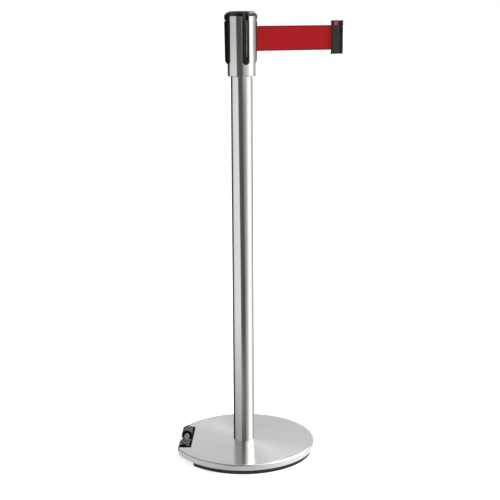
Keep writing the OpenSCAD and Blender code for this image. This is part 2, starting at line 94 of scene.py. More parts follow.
class Nodes:
    """A short way of writing shader nodes."""

    def __init__(self, tree):
        self.t = tree
        tree.nodes.clear()

    def new(self, kind, **props):
        n = self.t.nodes.new(kind)
        for k, v in props.items():
            setattr(n, k, v)
        return n

    def put(self, socket, value):
        if isinstance(value, bpy.types.NodeSocket):
            self.t.links.new(value, socket)
        elif value is not None:
            socket.default_value = value

    def math(self, op, a, b=None, c=None, clamp=False):
        n = self.new("ShaderNodeMath", operation=op, use_clamp=clamp)
        for i, v in enumerate((a, b, c)):
            if v is not None:
                self.put(n.inputs[i], v)
        return n.outputs[0]

    def ramp(self, fac, stops, mode="LINEAR"):
        n = self.new("ShaderNodeValToRGB")
        n.color_ramp.interpolation = mode
        e = n.color_ramp.elements
        while len(e) > 1:
            e.remove(e[-1])
        e[0].position, e[0].color = stops[0][0], tuple(stops[0][1]) + (1,)
        for p, c in stops[1:]:
            x = e.new(p)
            x.color = tuple(c) + (1,)
        self.put(n.inputs[0], fac)
        return n.outputs[0]

    def span(self, value, a, b, lo=0.0, hi=1.0, smooth=True):
        n = self.new("ShaderNodeMapRange", interpolation_type="SMOOTHSTEP" if smooth else "LINEAR")
        self.put(n.inputs["Value"], value)
        for k, v in (("From Min", a), ("From Max", b), ("To Min", lo), ("To Max", hi)):
            self.put(n.inputs[k], v)
        return n.outputs["Result"]

    def noise(self, vector, scale, detail=2.0, rough=0.5, distortion=0.0):
        n = self.new("ShaderNodeTexNoise")
        self.put(n.inputs["Vector"], vector)
        n.inputs["Scale"].default_value = scale
        n.inputs["Detail"].default_value = detail
        n.inputs["Roughness"].default_value = rough
        n.inputs["Distortion"].default_value = distortion
        return n.outputs["Fac"]

    def mapping(self, vector, scale=(1, 1, 1), rotation=(0, 0, 0), location=(0, 0, 0)):
        n = self.new("ShaderNodeMapping")
        self.put(n.inputs["Vector"], vector)
        n.inputs["Scale"].default_value = scale
        n.inputs["Rotation"].default_value = rotation
        n.inputs["Location"].default_value = location
        return n.outputs[0]

    def mix(self, fac, a, b, blend="MIX"):
        n = self.new("ShaderNodeMix", data_type="RGBA", blend_type=blend)
        self.put(n.inputs[0], fac)
        for i, v in ((6, a), (7, b)):
            self.put(n.inputs[i], v if isinstance(v, bpy.types.NodeSocket) else tuple(v) + (1,))
        return n.outputs[2]

    def bump(self, height, strength, distance, normal=None):
        n = self.new("ShaderNodeBump")
        n.inputs["Strength"].default_value = strength
        n.inputs["Distance"].default_value = distance
        self.put(n.inputs["Height"], height)
        if normal is not None:
            self.put(n.inputs["Normal"], normal)
        return n.outputs[0]

    def xyz(self, vector):
        n = self.new("ShaderNodeSeparateXYZ")
        self.put(n.inputs[0], vector)
        return n.outputs


def material(name):
    m = bpy.data.materials.new(name)
    m.use_nodes = True
    g = Nodes(m.node_tree)
    out = g.new("ShaderNodeOutputMaterial")
    b = g.new("ShaderNodeBsdfPrincipled")
    g.t.links.new(b.outputs[0], out.inputs[0])
    co = g.new("ShaderNodeTexCoord").outputs["Object"]
    return m, g, b, co


def plastic(name, color, rough, grain=900.0, bump=0.04, specular=0.5, vary=0.06, coat=0.0, tone=0.25):
    """Moulded plastic or rubber: slight tone change, fine grain, and a sheen that wanders a little."""
    m, g, b, co = material(name)
    wide = g.noise(co, 45, 3)
    fine = g.noise(co, grain, 2, 0.6)
    dark = tuple(c * (1 - tone) for c in color)
    light = tuple(min(1, c * (1 + tone)) for c in color)
    g.put(b.inputs["Base Color"], g.mix(wide, dark, light))
    g.put(b.inputs["Roughness"], g.span(g.noise(co, 120, 4), 0.3, 0.7, rough - vary, rough + vary))
    b.inputs["Specular IOR Level"].default_value = specular
    if coat:
        b.inputs["Coat Weight"].default_value = coat
        b.inputs["Coat Roughness"].default_value = 0.12
    g.put(b.inputs["Normal"], g.bump(fine, bump, 0.0004))
    return m


# ---------------------------------------------------------------- materials


def steel_lengthwise(name, color, rough, aniso=0.35):
    """Satin stainless with fine grain lines up and down."""
    m, g, b, co = material(name)
    lines = g.noise(g.mapping(co, (1, 1, 0.012)), 2600, 3, 0.65)
    cloud = g.noise(g.mapping(co, (1, 1, 0.25)), 18, 3)
    b.inputs["Metallic"].default_value = 1
    dark = tuple(c * 0.955 for c in color)
    g.put(b.inputs["Base Color"], g.mix(g.span(lines, 0.35, 0.65), dark, color))
    r = g.math("ADD", g.span(lines, 0.3, 0.7, rough - 0.02, rough + 0.03), g.span(cloud, 0.3, 0.7, -0.01, 0.015))
    g.put(b.inputs["Roughness"], r)
    g.put(b.inputs["Normal"], g.bump(lines, 0.025, 0.0003))
    b.inputs["Anisotropic"].default_value = aniso
    t = g.new("ShaderNodeTangent", direction_type="RADIAL", axis="Z")
    g.put(b.inputs["Tangent"], t.outputs[0])
    return m


def steel_spun(name, color, rough, aniso=0.8):
    """Stainless sheet brushed round and round about the post."""
    m, g, b, co = material(name)
    s = g.xyz(co)
    r = g.math("SQRT", g.math("ADD", g.math("POWER", s[0], 2.0), g.math("POWER", s[1], 2.0)))
    a = g.math("ARCTAN2", s[1], s[0])
    ring = g.new("ShaderNodeCombineXYZ")
    g.put(ring.inputs[0], g.math("MULTIPLY", r, 1.0))
    g.put(ring.inputs[1], g.math("MULTIPLY", g.math("SINE", a), 0.0035))
    g.put(ring.inputs[2], g.math("MULTIPLY", g.math("COSINE", a), 0.0035))
    lines = g.noise(ring.outputs[0], 900, 3, 0.6)
    broad = g.noise(ring.outputs[0], 330, 3, 0.6)
    smudge = g.noise(co, 14, 4, 0.55)
    b.inputs["Metallic"].default_value = 1
    tone = g.math("ADD", g.math("MULTIPLY", lines, 0.65), g.math("MULTIPLY", broad, 0.35))
    dark = tuple(c * 0.965 for c in color)
    g.put(b.inputs["Base Color"], g.mix(g.span(tone, 0.36, 0.64), dark, color))
    rr = g.math("ADD", g.span(tone, 0.3, 0.7, rough - 0.02, rough + 0.02), g.span(smudge, 0.35, 0.7, -0.01, 0.02))
    g.put(b.inputs["Roughness"], rr)
    g.put(b.inputs["Normal"], g.bump(lines, 0.012, 0.0003))
    b.inputs["Anisotropic"].default_value = aniso
    b.inputs["Anisotropic Rotation"].default_value = 0.25
    t = g.new("ShaderNodeTangent", direction_type="RADIAL", axis="Z")
    g.put(b.inputs["Tangent"], t.outputs[0])
    return m


def metal(name, color, rough, scale=700.0):
    m, g, b, co = material(name)
    n = g.noise(co, scale, 3)
    b.inputs["Metallic"].default_value = 1
    g.put(b.inputs["Base Color"], g.mix(g.noise(co, 60, 3), tuple(c * 0.85 for c in color), color))
    g.put(b.inputs["Roughness"], g.span(n, 0.3, 0.7, rough - 0.06, rough + 0.08))
    g.put(b.inputs["Normal"], g.bump(n, 0.05, 0.0003))
    return m


def webbing(name):
    """Woven polyester belt: a fine twill with bound edges."""
    m, g, b, co = material(name)
    s = g.xyz(co)
    zmid = 0.8705
    across = g.math("ABSOLUTE", g.math("SUBTRACT", s[2], zmid))
    warp = g.math("SINE", g.math("MULTIPLY", s[2], 2 * math.pi / 0.00105))
    twill = g.math("SINE", g.math("MULTIPLY", g.math("ADD", s[0], g.math("MULTIPLY", s[2], 0.8)), 2 * math.pi / 0.0016))
    weave = g.math("ADD", g.math("MULTIPLY", warp, 0.5), g.math("MULTIPLY", twill, 0.5))
    fibre = g.noise(g.mapping(co, (0.25, 1, 1)), 3500, 3, 0.65)
    soft = g.noise(g.mapping(co, (0.35, 1, 1)), 55, 3)
    lo, mid, hi = (0.205, 0.0045, 0.0065), (0.295, 0.0070, 0.0090), (0.36, 0.011, 0.012)
    base = g.mix(g.span(weave, -1, 1), lo, hi)
    base = g.mix(0.55, base, mid)
    base = g.mix(g.span(soft, 0.35, 0.7, 0, 0.35), base, (0.33, 0.010, 0.012))
    base = g.mix(g.span(fibre, 0.45, 0.75, 0, 0.25), base, lo)
    # painted shade: the belt is coloured a darker red along its rounded bound edges, standing in for the shade there
    edge = g.span(across, 0.0226, 0.0236)
    base = g.mix(g.math("MULTIPLY", edge, 0.9), base, (0.07, 0.002, 0.007))
    g.put(b.inputs["Base Color"], base)
    g.put(b.inputs["Roughness"], g.span(fibre, 0.3, 0.7, 0.62, 0.85))
    b.inputs["Specular IOR Level"].default_value = 0.09
    b.inputs["Sheen Weight"].default_value = 0.03
    b.inputs["Sheen Roughness"].default_value = 0.4
    b.inputs["Sheen Tint"].default_value = (1.0, 0.55, 0.5, 1)
    h = g.math("ADD", g.math("MULTIPLY", weave, 0.5), g.math("MULTIPLY", fibre, 0.5))
    g.put(b.inputs["Normal"], g.bump(h, 0.35, 0.00018))
    return m


def head_plastic(name, specular):
    """Polished black mouldings, left rougher on the sides of the receivers, between the sleeve and their faces."""
    m, g, b, co = material(name)
    s = g.xyz(co)
    r = g.math("SQRT", g.math("ADD", g.math("POWER", s[0], 2.0), g.math("POWER", s[1], 2.0)))
    sides = g.math("MULTIPLY", g.math("MULTIPLY", g.span(r, 0.0286, 0.0290), g.span(r, 0.0326, 0.0336, 1.0, 0.0)),
                   g.span(s[2], 0.905, 0.907, 1.0, 0.0))
    wide = g.noise(co, 45, 3)
    # painted light: the shaded channels of the receivers are coloured light grey inside, standing in for the light that
    # reaches them
    tang = g.math("MINIMUM", g.math("ABSOLUTE", s[0]), g.math("ABSOLUTE", s[1]))
    painted_channel_light = g.math("MULTIPLY", g.math("MULTIPLY", g.span(tang, 0.00495, 0.00505, 1.0, 0.0),
                                       g.span(r, 0.0315, 0.0318, 1.0, 0.0)),
                    g.math("MULTIPLY", g.span(s[2], 0.8350, 0.8352), g.span(s[2], 0.9068, 0.9070, 1.0, 0.0)))
    tone = g.mix(wide, (0.0022, 0.0022, 0.0024), (0.0036, 0.0036, 0.0040))
    g.put(b.inputs["Base Color"], g.mix(painted_channel_light, tone, (0.46, 0.46, 0.45)))
    polish = g.span(g.noise(co, 120, 4), 0.3, 0.7, 0.13, 0.17)
    g.put(b.inputs["Roughness"], g.math("ADD", polish, g.math("MULTIPLY", sides, 0.5)))
    b.inputs["Specular IOR Level"].default_value = specular
    g.put(b.inputs["Normal"], g.bump(g.noise(co, 1100, 2, 0.6), 0.015, 0.0004))
    return m


def tyre_rubber(name):
    """Black rubber, lighter grey on the raised lines of the tread."""
    m, g, b, co = material(name)
    s = g.xyz(co)
    u = g.math("SUBTRACT", g.math("ADD", g.math("MULTIPLY", s[0], math.cos(math.radians(159))),
                                  g.math("MULTIPLY", s[1], math.sin(math.radians(159)))), 0.126)
    w = g.math("SUBTRACT", s[2], 0.0165)
    r = g.math("SQRT", g.math("ADD", g.math("POWER", u, 2.0), g.math("POWER", w, 2.0)))
    ridge_grey = g.math("MULTIPLY", g.span(r, 0.01145, 0.0118), g.span(g.noise(co, 260, 3), 0.2, 0.6, 0.55, 1.0))
    g.put(b.inputs["Base Color"], g.mix(ridge_grey, (0.0045, 0.005, 0.005), (0.25, 0.265, 0.258)))
    fine = g.noise(co, 700, 2, 0.6)
    g.put(b.inputs["Roughness"], g.span(fine, 0.3, 0.7, 0.45, 0.6))
    b.inputs["Specular IOR Level"].default_value = 0.1
    g.put(b.inputs["Normal"], g.bump(fine, 0.08, 0.0004))
    return m


def felt(name):
    m, g, b, co = material(name)
    n = g.noise(co, 1500, 5, 0.7)
    g.put(b.inputs["Base Color"], g.mix(n, (0.32, 0.29, 0.24), (0.52, 0.48, 0.4)))
    b.inputs["Roughness"].default_value = 0.95
    g.put(b.inputs["Normal"], g.bump(n, 0.6, 0.0004))
    return m


def iron(name):
    m, g, b, co = material(name)
    n = g.noise(co, 420, 5, 0.65)
    g.put(b.inputs["Base Color"], g.mix(n, (0.035, 0.035, 0.037), (0.075, 0.073, 0.072)))
    g.put(b.inputs["Roughness"], g.span(n, 0.3, 0.7, 0.55, 0.8))
    g.put(b.inputs["Normal"], g.bump(n, 0.5, 0.0006))
    return m


STEEL = (0.80, 0.795, 0.775)
MATS = {
    "tube_steel": steel_lengthwise("tube_steel", STEEL, 0.085),
    "cover_steel": steel_spun("cover_steel", (0.79, 0.785, 0.78), 0.24),
    "weight_iron": iron("weight_iron"),
    "black_rubber": plastic("black_rubber", (0.020, 0.017, 0.018), 0.62, 500, 0.18, 0.35),
    "tyre_rubber": tyre_rubber("tyre_rubber"),
    "gloss_black": head_plastic("gloss_black", 0.62),
    "receiver_black": head_plastic("receiver_black", 0.35),
    "matte_black": plastic("matte_black", (0.018, 0.018, 0.019), 0.5, 900, 0.1),
    "housing_black": plastic("housing_black", (0.0030, 0.0030, 0.0032), 0.5, 900, 0.06, 0.015),
    "grey_plastic": plastic("grey_plastic", (0.105, 0.116, 0.113), 0.4, 800, 0.05, tone=0.25),
    "zinc_steel": metal("zinc_steel", (0.62, 0.63, 0.65), 0.32),
    "spring_steel": metal("spring_steel", (0.38, 0.4, 0.43), 0.3),
    "bush_brass": metal("bush_brass", (0.78, 0.6, 0.3), 0.28),
    "felt": felt("felt"),
    "belt_web": webbing("belt_web"),
    "clip_plastic": plastic("clip_plastic", (0.0125, 0.0150, 0.0125), 0.42, 1000, 0.06, 0.32, tone=0.15),
    "lock_red": plastic("lock_red", (0.36, 0.022, 0.060), 0.3, 900, 0.02, tone=0.08),
}

SLOT = {}
for slot, names in {
    "cover_steel": ["base_cover"],
    "tube_steel": ["post_tube", "head_sleeve", "sleeve_ring"],
    "weight_iron": ["base_weight"],
    "black_rubber": ["floor_ring"],
    "tyre_rubber": ["wheel_tyre_left", "wheel_tyre_right"],
    "gloss_black": ["top_cap", "cap_insert"],
    "receiver_black": ["receiver_left", "receiver_front", "receiver_back", "belt_guide"],
    "matte_black": ["sleeve_adaptor", "head_chassis", "base_plug", "spool"],
    "housing_black": ["wheel_housing", "wheel_core_left", "wheel_core_right"],
    "grey_plastic": ["hub_spacer"],
    "zinc_steel": ["housing_screws", "wheel_axle", "axle_clips", "tie_rod", "base_nut", "base_washer", "top_nut",
                   "head_plate", "plate_screws", "cap_screw", "spool_shaft", "spring_cup", "spring_cover",
                   "clip_screws"],
    "spring_steel": ["power_spring", "lock_spring"],
    "bush_brass": ["lower_bush", "upper_bush"],
    "felt": ["brake_washer"],
    "belt_web": ["belt_roll", "belt_lead", "belt_strip"],
    "clip_plastic": ["clip_front", "clip_back"],
    "lock_red": ["lock_button"],
}.items():
    for n in names:
        SLOT[n] = slot
RECORD_SLOT = {"tube_steel": "stainless", "cover_steel": "stainless", "housing_black": "matte_black",
               "receiver_black": "gloss_black"}
for n, o in nodes.items():
    o.data.materials.clear()
    o.data.materials.append(MATS[SLOT[n]])

# ---------------------------------------------------------------- mesh helpers


def link(o):
    bpy.context.scene.collection.objects.link(o)
    return o


def from_bmesh(name, bm, mat, smooth=32):
    me = bpy.data.meshes.new(name)
    bm.normal_update()
    bm.to_mesh(me)
    bm.free()
    o = link(bpy.data.objects.new(name, me))
    me.materials.append(MATS[mat])
    shade(o, smooth)
    return o


def shade(o, angle=32):
    me = o.data
    for p in me.polygons:
        p.use_smooth = True
    me.set_sharp_from_angle(angle=math.radians(angle))
    me.update()


def lathe(bm, profile, seg, turn=None):
    """Revolves a closed outline of (radius, height), in mm, about Z."""
    turn = turn or Matrix.Identity(4)
    rows = []
    for r, z in profile:
        if r < 1e-6:
            v = bm.verts.new(turn @ Vector((0, 0, z * MM)))
            rows.append([v] * seg)
        else:
            rows.append([bm.verts.new(turn @ Vector((r * MM * math.cos(2 * math.pi * i / seg),
                                                     r * MM * math.sin(2 * math.pi * i / seg), z * MM)))
                         for i in range(seg)])
    n = len(rows)
    for k in range(n):
        a, b = rows[k], rows[(k + 1) % n]
        if a[0] is a[1] and b[0] is b[1]:
            continue
        for i in range(seg):
            j = (i + 1) % seg
            f = []
            for v in (a[i], a[j], b[j], b[i]):
                if v not in f:
                    f.append(v)
            if len(f) > 2:
                bm.faces.new(f)
    bmesh.ops.recalc_face_normals(bm, faces=bm.faces[:])


def prism(bm, outline, z0, z1, place=None):
    """Extrudes an outline of (x, y), in mm, from z0 to z1."""
    place = place or Matrix.Identity(4)
    lo = [bm.verts.new(place @ Vector((x * MM, y * MM, z0 * MM))) for x, y in outline]
    hi = [bm.verts.new(place @ Vector((x * MM, y * MM, z1 * MM))) for x, y in outline]
    n = len(lo)
    fs = [bm.faces.new(lo[::-1]), bm.faces.new(hi)]
    for i in range(n):
        j = (i + 1) % n
        fs.append(bm.faces.new((lo[i], lo[j], hi[j], hi[i])))
    bmesh.ops.recalc_face_normals(bm, faces=fs)


def block(bm, a, b, place=None):
    prism(bm, [(a[0], a[1]), (b[0], a[1]), (b[0], b[1]), (a[0], b[1])], a[2], b[2], place)


def tool(build):
    """A throwaway object for a boolean."""
    bm = bmesh.new()
    build(bm)
    me = bpy.data.meshes.new("tool")
    bm.to_mesh(me)
    bm.free()
    return link(bpy.data.objects.new("tool", me))


def bake(o):
    """Applies an object's modifiers to its mesh."""
    dg = bpy.context.evaluated_depsgraph_get()
    dg.update()
    me = bpy.data.meshes.new_from_object(o.evaluated_get(dg), preserve_all_data_layers=True, depsgraph=dg)
    o.modifiers.clear()
    old = o.data
    o.data = me
    me.name = o.name
    if old.users == 0:
        bpy.data.meshes.remove(old)


def boolean(o, build, op="DIFFERENCE"):
    t = tool(build)
    m = o.modifiers.new("b", "BOOLEAN")
    m.operation, m.solver, m.object = op, "EXACT", t
    bake(o)
    me = t.data
    bpy.data.objects.remove(t)
    bpy.data.meshes.remove(me)


def soften(o, width, segments=2, angle=35, keep=False):
    """Rounds an object's hard edges a little."""
    d = o.modifiers.new("flat", "DECIMATE")
    d.decimate_type, d.angle_limit = "DISSOLVE", math.radians(0.5)
    m = o.modifiers.new("round", "BEVEL")
    m.width, m.segments, m.limit_method, m.angle_limit = width * MM, segments, "ANGLE", math.radians(angle)
    m.use_clamp_overlap, m.harden_normals, m.miter_outer = True, False, "MITER_ARC"
    w = o.modifiers.new("normals", "WEIGHTED_NORMAL")
    w.keep_sharp, w.weight = True, 60
    if not keep:
        bake(o)


WHEEL_AZ = math.radians(159)
SIDE = Matrix.Rotation(WHEEL_AZ, 4, "Z")


def about_z(deg):
    return Matrix.Rotation(math.radians(deg), 4, "Z")


TOP = 925.0

# ---------------------------------------------------------------- base cover


def base_shell():
    er, t, r, h, sk = 3.0, 1.2, 150.0, 22.0, 9.5
    prof = [(22.35, h - t), (22.35, h - 0.15), (22.5, h), (60, h), (100, h), (130, h)]
    prof += [(r - er + er * math.sin(math.radians(a)), h - er + er * math.cos(math.radians(a))) for a in range(0, 91, 6)]
    prof += [(r, 14), (r, sk + 0.25), (r - 0.2, sk), (r - t + 0.2, sk), (r - t, sk + 0.25)]
    prof += [(r - er + (er - t) * math.sin(math.radians(a)), h - er + (er - t) * math.cos(math.radians(a)))
             for a in range(90, -1, -10)]
    bm = bmesh.new()
    lathe(bm, prof, 288)
    o = from_bmesh("cover_shell", bm, "cover_steel")
    boolean(o, lambda b: block(b, (135, -200, -5), (260, 200, 40), SIDE))

    def notch(b):
        rr = 2.0
        pts = [(260, -59.2)]
        pts += [(110 + rr - rr * math.cos(math.radians(a)), -59.2 + rr - rr * math.sin(math.radians(a)))
                for a in range(90, -1, -15)]
        pts += [(110 + rr - rr * math.cos(math.radians(a)), 59.2 - rr + rr * math.sin(math.radians(a)))
                for a in range(0, 91, 15)]
        pts += [(260, 59.2)]
        prism(b, pts, -5, 40, SIDE)

    boolean(o, notch)
    for s in (-1, 1):
        lo, hi = sorted((s * 59.2, s * 65.0))
        boolean(o, lambda b: block(b, (133.8, lo, sk), (135, hi, h - 0.35), SIDE), "UNION")
    shade(o, 28)
    o.visible_glossy = False
    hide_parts("base_cover")
    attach(o, "post")


base_shell()

for n in ("base_weight", "floor_ring", "wheel_housing", "wheel_core_left", "wheel_core_right", "hub_spacer",
          "wheel_axle", "axle_clips"):
    nodes[n].visible_glossy = False

# ---------------------------------------------------------------- post and head sleeve


def post():
    bm = bmesh.new()
    zs = [20.6, 22.1, 200, 400, 600, 780, 806.3]
    prof = [(22.2, z) for z in zs] + [(22.0, 806.5), (21.2, 806.5), (21.0, 806.3), (21.0, 20.6)]
    lathe(bm, prof, 160)
    o = from_bmesh("post_skin", bm, "tube_steel")
    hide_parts("post_tube")
    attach(o, "post")

    bm = bmesh.new()
    lathe(bm, [(28.3, 797.8), (28.5, 798.0), (28.5, 914.8), (28.3, 915.0), (27.2, 915.0), (27.0, 914.8),
               (27.0, 798.0), (27.2, 797.8)], 192)
    o = from_bmesh("sleeve_skin", bm, "tube_steel")
    w = 7.4
    for a in (0, 90, 180, 270):
        z0 = TOP - 105.4 - 0.2
        pts = [(w * math.sin(math.radians(k)), z0 + w - w * math.cos(math.radians(k))) for k in range(-90, 91, 9)]
        pts += [(w, TOP + 5), (-w, TOP + 5)]
        place = about_z(a) @ Matrix.Rotation(math.pi / 2, 4, "Y") @ Matrix.Rotation(math.pi / 2, 4, "Z")
        # the outline is (across, height), pushed outwards
        m = Matrix(((0, 0, 1, 0), (1, 0, 0, 0), (0, 1, 0, 0), (0, 0, 0, 1)))
        boolean(o, lambda b: prism(b, pts, 15, 45, about_z(a) @ m))
    shade(o, 30)
    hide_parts("head_sleeve")
    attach(o, "post")


post()

# ---------------------------------------------------------------- moulded parts keep their CAD shape, with softened edges

for n, wd in {"top_cap": 0.35, "cap_insert": 0.25, "receiver_left": 0.45, "receiver_front": 0.45,
              "receiver_back": 0.45, "belt_guide": 0.4, "clip_front": 0.45, "clip_back": 0.4,
              "lock_button": 0.45, "wheel_housing": 0.5, "floor_ring": 0.8, "hub_spacer": 0.3}.items():
    soften(nodes[n], wd, keep=True)

# ---------------------------------------------------------------- wheels


def tyre(name, body, v0, v1, node, seed):
    """A rubber tyre with a diamond tread, along the axle from v0 to v1 (mm)."""
    r, ri = 11.98, 9.05
    around, along = 168, 60
    bm = bmesh.new()
    axis = SIDE @ Matrix.Translation(Vector((126 * MM, 0, 16.5 * MM))) @ Matrix.Rotation(-math.pi / 2, 4, "X")
    a, b = v0 + 0.35, v1 - 0.35
    lugs = 7

    def radius(i, v):
        e = min(v - a, b - v)
        base = r - 1.5 * max(0.0, 1 - e / 2.0) ** 2.4
        if e < 1.2:
            lug = 0.5 + 0.5 * math.cos(2 * math.pi * lugs * 2 * i / around)
            return base - 0.35 * (1 - lug) * (e / 1.2)
        th = i / around
        k = (v - a) / 16.9
        g = min(abs(((th * lugs + k) % 1.0) - 0.5), abs(((th * lugs - k) % 1.0) - 0.5))
        ridge = 1 - min(1.0, max(0.0, (g - 0.06) / 0.035))
        return base - 0.75 * (1 - ridge)

    rows = []
    for j in range(along + 1):
        v = a + (b - a) * j / along
        ring = []
        for i in range(around):
            t = 2 * math.pi * i / around
            rr = radius(i, v)
            ring.append(bm.verts.new(axis @ Vector((rr * MM * math.cos(t), rr * MM * math.sin(t), v * MM))))
        rows.append(ring)
    for v in (b - 0.15, b - 0.9, a + 0.9, a + 0.15):
        rows.append([bm.verts.new(axis @ Vector((ri * MM * math.cos(2 * math.pi * i / around),
                                                 ri * MM * math.sin(2 * math.pi * i / around), v * MM)))
                     for i in range(around)])
    n = len(rows)
    for j in range(n):
        p, q = rows[j], rows[(j + 1) % n]
        for i in range(around):
            k = (i + 1) % around
            bm.faces.new((p[i], p[k], q[k], q[i]))
    bmesh.ops.recalc_face_normals(bm, faces=bm.faces[:])
    o = from_bmesh(name, bm, "tyre_rubber", 40)
    o.visible_glossy = False
    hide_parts(node)
    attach(o, body)


tyre("tyre_left_treaded", "wheel_left", -56.4, -22.0, "wheel_tyre_left", 1)
tyre("tyre_right_treaded", "wheel_right", 22.0, 56.4, "wheel_tyre_right", 2)

# ---------------------------------------------------------------- belt

ZB = 870.5
BELT_START, BELT_END = 30.5, 205.0


def belt_section(half, w=25.0):
    """Outline of the webbing across its width: fine lengthwise ribs and a rounded bound edge. (y, z) in mm."""
    front = []
    n = 96
    for i in range(n + 1):
        z = -w + 2 * w * i / n
        e = w - abs(z)
        rib = 0.03 * math.cos(2 * math.pi * z / 2.083)
        edge = 0.05 if 0.5 < e < 2.2 else 0.0
        roll = 1.0 if e > 0.6 else math.sqrt(max(0.0, 1 - ((0.6 - e) / 0.6) ** 2))
        front.append((-(half - 0.05 + rib * (0 if e < 2.2 else 1) + edge) * roll, z))
    return front + [(-y, z) for y, z in reversed(front[1:-1])]


def belt():
    sec = belt_section(0.33)
    steps = 120
    bm = bmesh.new()
    rows = []
    for k in range(steps + 1):
        x = BELT_START + (BELT_END - BELT_START) * k / steps
        rows.append([bm.verts.new((x * MM, y * MM, (ZB + z) * MM)) for y, z in sec])
    m = len(sec)
    for k in range(steps):
        p, q = rows[k], rows[k + 1]
        for i in range(m):
            j = (i + 1) % m
            bm.faces.new((p[i], p[j], q[j], q[i]))
    bm.faces.new(rows[0][::-1])
    bm.faces.new(rows[-1])
    bmesh.ops.recalc_face_normals(bm, faces=bm.faces[:])
    o = from_bmesh("belt_webbing", bm, "belt_web", 50)
    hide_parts("belt_strip")
    return o


web = belt()


def stitch_row(name, pts, length=2.1, gap=1.0, side=-1, y0=0.36):
    """A row of thread stitches through pts (x, z), on one face of the belt."""
    bm = bmesh.new()
    (x0, z0), (x1, z1) = pts
    total = math.hypot(x1 - x0, z1 - z0)
    n = int(total // (length + gap))
    start = (total - n * (length + gap) + gap) / 2
    d = ((x1 - x0) / total, (z1 - z0) / total)
    for k in range(n):
        s = start + k * (length + gap)
        ring_prev = None
        for q in range(9):
            f = q / 8
            along = s + length * f
            bulge = math.sin(math.pi * f)
            rad = 0.05 + 0.17 * bulge ** 0.5
            cx, cz = x0 + d[0] * along, z0 + d[1] * along
            cy = side * (y0 - 0.1 + 0.12 * bulge ** 0.6)
            ring = []
            for a in range(8):
                t = 2 * math.pi * a / 8
                off = (math.cos(t) * rad, math.sin(t) * rad * 0.7)
                ring.append(bm.verts.new(((cx - d[1] * off[0]) * MM, (cy + side * off[1]) * MM, (cz + d[0] * off[0]) * MM)))
            if ring_prev:
                for a in range(8):
                    b = (a + 1) % 8
                    bm.faces.new((ring_prev[a], ring_prev[b], ring[b], ring[a]))
            else:
                bm.faces.new(ring[::-1])
            ring_prev = ring
        bm.faces.new(ring_prev)
    bmesh.ops.recalc_face_normals(bm, faces=bm.faces[:])
    return bm


def thread(name):
    m, g, b, co = material(name)
    n = g.noise(co, 2500, 3)
    g.put(b.inputs["Base Color"], g.mix(n, (0.16, 0.006, 0.010), (0.27, 0.012, 0.016)))
    b.inputs["Roughness"].default_value = 0.6
    g.put(b.inputs["Normal"], g.bump(n, 0.4, 0.0002))
    return m


MATS["thread"] = thread("thread")


def tail():
    """The belt's end turned back on itself behind, and sewn."""
    bm = bmesh.new()
    sec = []
    n = 48
    w = 24.6
    for i in range(n + 1):
        z = -w + 2 * w * i / n
        e = w - abs(z)
        roll = 1.0 if e > 0.4 else math.sqrt(max(0.0, 1 - ((0.4 - e) / 0.4) ** 2))
        sec.append((0.30 + 0.15 * roll, z))
    back = [(0.30, z) for y, z in reversed(sec)]
    xs = [195.1, 195.2, 195.4, 197.5, 200.0, 202.5, 204.9]
    lift = [0.25, 0.75, 1, 1, 1, 1, 1]
    rows = []
    for x, l in zip(xs, lift):
        rows.append([bm.verts.new((x * MM, (0.30 + (y - 0.30) * l) * MM, (ZB + z) * MM)) for y, z in sec]
                    + [bm.verts.new((x * MM, 0.29 * MM, (ZB + z) * MM)) for y, z in back])
    m = len(rows[0])
    for p, q in zip(rows, rows[1:]):
        for i in range(m):
            j = (i + 1) % m
            bm.faces.new((p[i], p[j], q[j], q[i]))
    bm.faces.new(rows[0][::-1])
    bm.faces.new(rows[-1])
    bmesh.ops.recalc_face_normals(bm, faces=bm.faces[:])
    o = from_bmesh("belt_turned_end", bm, "belt_web", 50)
    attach(o, "belt_end")
    me = None
    for side, tag, y0 in ((-1, "front", 0.36), (1, "back", 0.44)):
        whole = bmesh.new()
        for pts in (((195.6, ZB - 22.4), (195.6, ZB + 22.4)), ((203.0, ZB - 22.4), (203.0, ZB + 22.4))):
            part = stitch_row("s", pts, side=side, y0=y0)
            tmp = bpy.data.meshes.new("tmp")
            part.to_mesh(tmp)
            part.free()
            whole.from_mesh(tmp)
            bpy.data.meshes.remove(tmp)
        s = from_bmesh("stitching_" + tag, whole, "thread", 60)
        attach(s, "belt_end")
        yield s
    yield o


def lock_leaf():
    """The leaf behind the lock button, built bowed; the mesh does not flatten as the button goes in."""
    lo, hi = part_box("lock_spring")
    cx, t = (lo[0] + hi[0]) / 2, 0.00034
    y0, y1 = lo[1] + 0.0001, hi[1] - t / 2
    mid = []
    for i in range(41):
        f = -1 + 2 * i / 40
        x = cx + f * (hi[0] - lo[0] - 0.0001) / 2
        mid.append((x, y1 + (y0 + t / 2 - y1) * max(0.0, math.cos(f * math.pi / 1.64)) ** 1.3))
    side = []
    for i, (x, y) in enumerate(mid):
        a, b = mid[max(0, i - 1)], mid[min(40, i + 1)]
        d = math.hypot(b[0] - a[0], b[1] - a[1])
        side.append((x, y, -(b[1] - a[1]) / d * t / 2, (b[0] - a[0]) / d * t / 2))
    outline = [(x + nx, y + ny) for x, y, nx, ny in side] + [(x - nx, y - ny) for x, y, nx, ny in reversed(side)]
    bm = bmesh.new()
    rows = [[bm.verts.new((x, y, lo[2] + (hi[2] - lo[2]) * k / 6)) for x, y in outline] for k in range(7)]
    m = len(outline)
    for p, q in zip(rows, rows[1:]):
        for i in range(m):
            j = (i + 1) % m
            bm.faces.new((p[i], p[j], q[j], q[i]))
    bm.faces.new(rows[0][::-1])
    bm.faces.new(rows[-1])
    bmesh.ops.recalc_face_normals(bm, faces=bm.faces[:])
    o = from_bmesh("lock_spring_leaf", bm, "spring_steel", 40)
    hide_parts("lock_spring")
    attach(o, "belt_end")
    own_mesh(o)


